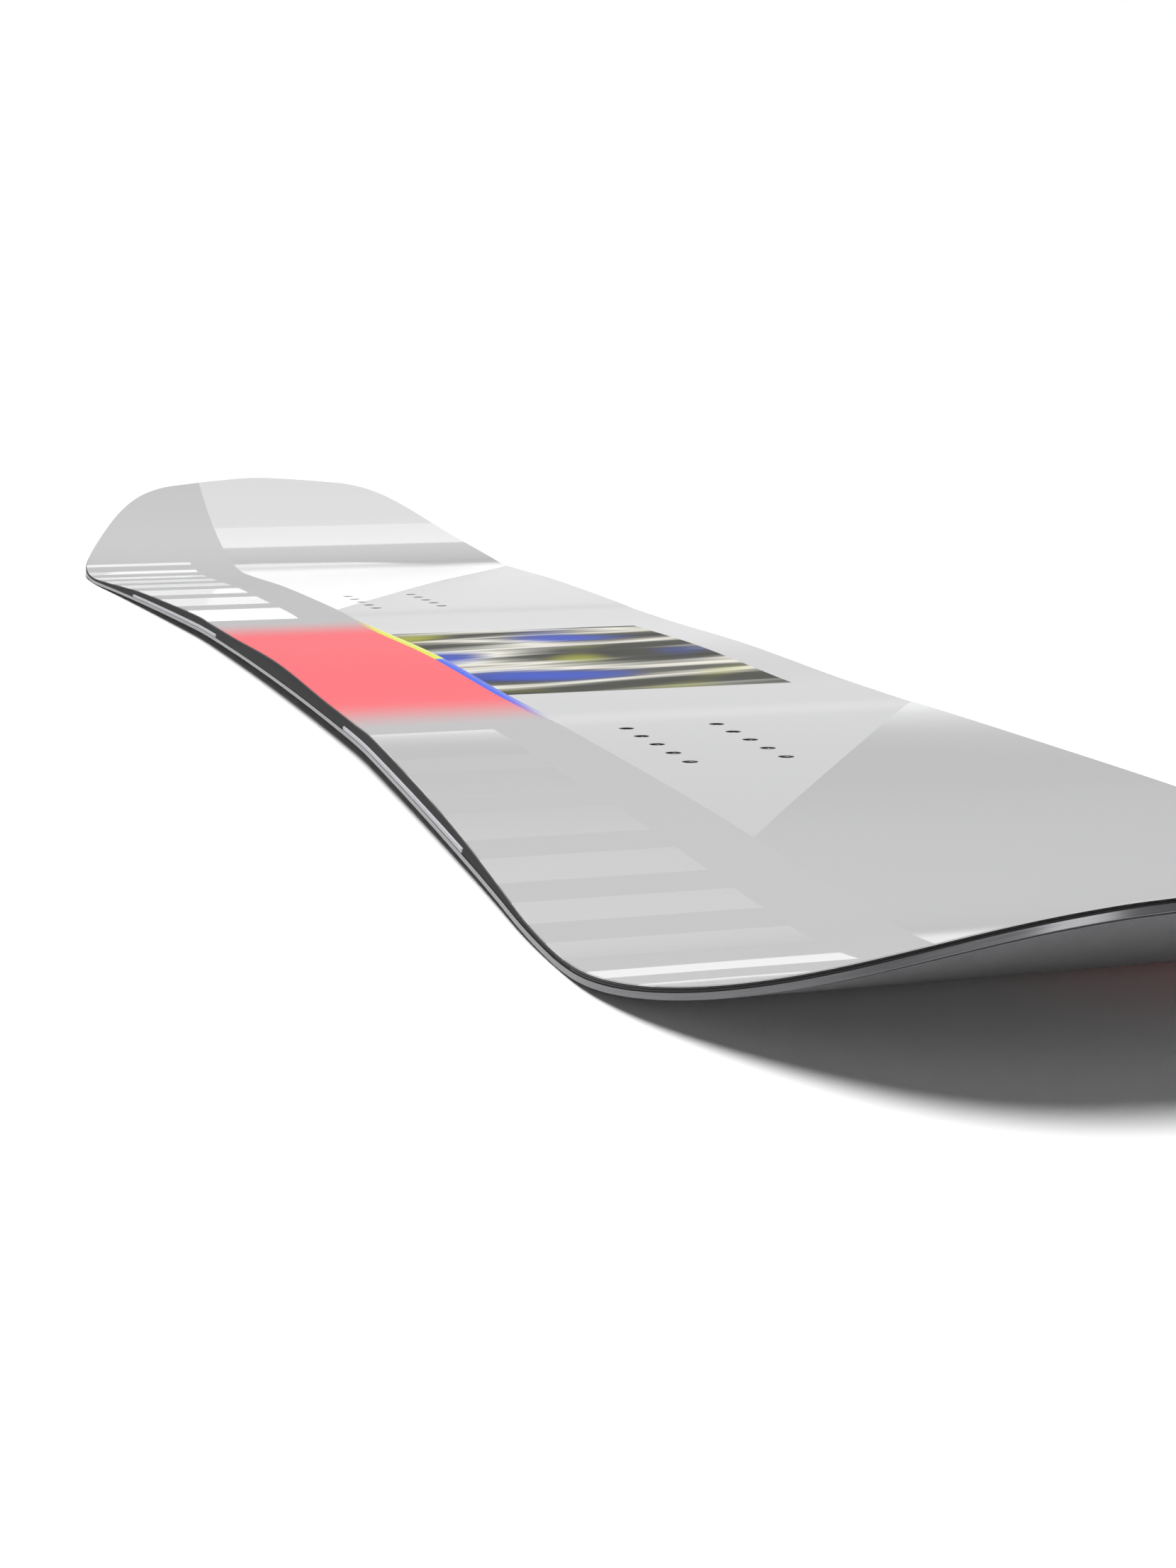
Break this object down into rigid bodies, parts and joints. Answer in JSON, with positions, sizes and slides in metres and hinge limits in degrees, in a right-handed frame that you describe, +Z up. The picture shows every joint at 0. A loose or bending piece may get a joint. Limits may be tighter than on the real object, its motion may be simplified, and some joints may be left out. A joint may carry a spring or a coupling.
{
  "type": "snowboard",
  "caption": "Twin-tip snowboard without bindings: cambered laminated deck with kicked-up nose and tail, steel edges, bevelled sidewalls and packs of threaded binding inserts.",
  "frame": {"origin": "on the floor under the middle of the board, which rests on its two contact lines", "axes": "+X towards the nose, +Y towards the toe side, +Z up"},
  "size_m": [1.535, 0.2994, 0.0583],
  "materials": {
    "topsheet": "gloss-lacquered polyamide film, printed in pale greys",
    "base": "sintered polyethylene, stone ground and waxed",
    "steel_edge": "ground spring steel",
    "edge_foil": "black rubber foil",
    "laminate": "glass fibre in epoxy resin",
    "sidewall": "charcoal ABS, ground and sanded",
    "tip_fill": "charcoal ABS sheet",
    "damping_strip": "pale lavender-grey urethane",
    "poplar": "planed poplar",
    "beech": "planed beech",
    "paulownia": "planed paulownia",
    "insert": "turned stainless steel"
  },
  "bodies": {
    "root": {"topsheet": "topsheet", "running_base": "base", "toe_steel_edge": "steel_edge", "heel_steel_edge": "steel_edge", "toe_edge_foil": "edge_foil", "heel_edge_foil": "edge_foil", "lower_laminate": "laminate", "upper_laminate": "laminate", "toe_sidewall": "sidewall", "heel_sidewall": "sidewall", "nose_tip_fill": "tip_fill", "tail_tip_fill": "tip_fill", "nose_toe_damping_strip": "damping_strip", "nose_heel_damping_strip": "damping_strip", "tail_toe_damping_strip": "damping_strip", "tail_heel_damping_strip": "damping_strip", "core_centre_poplar": "poplar", "core_toe_beech": "beech", "core_toe_poplar_inner": "poplar", "core_toe_paulownia": "paulownia", "core_toe_poplar_outer": "poplar", "core_heel_beech": "beech", "core_heel_poplar_inner": "poplar", "core_heel_paulownia": "paulownia", "core_heel_poplar_outer": "poplar", "insert_nose_toe_1": "insert", "insert_nose_toe_2": "insert", "insert_nose_toe_3": "insert", "insert_nose_toe_4": "insert", "insert_nose_toe_5": "insert", "insert_nose_heel_1": "insert", "insert_nose_heel_2": "insert", "insert_nose_heel_3": "insert", "insert_nose_heel_4": "insert", "insert_nose_heel_5": "insert", "insert_tail_toe_1": "insert", "insert_tail_toe_2": "insert", "insert_tail_toe_3": "insert", "insert_tail_toe_4": "insert", "insert_tail_toe_5": "insert", "insert_tail_heel_1": "insert", "insert_tail_heel_2": "insert", "insert_tail_heel_3": "insert", "insert_tail_heel_4": "insert", "insert_tail_heel_5": "insert"}
  },
  "joints": []
}
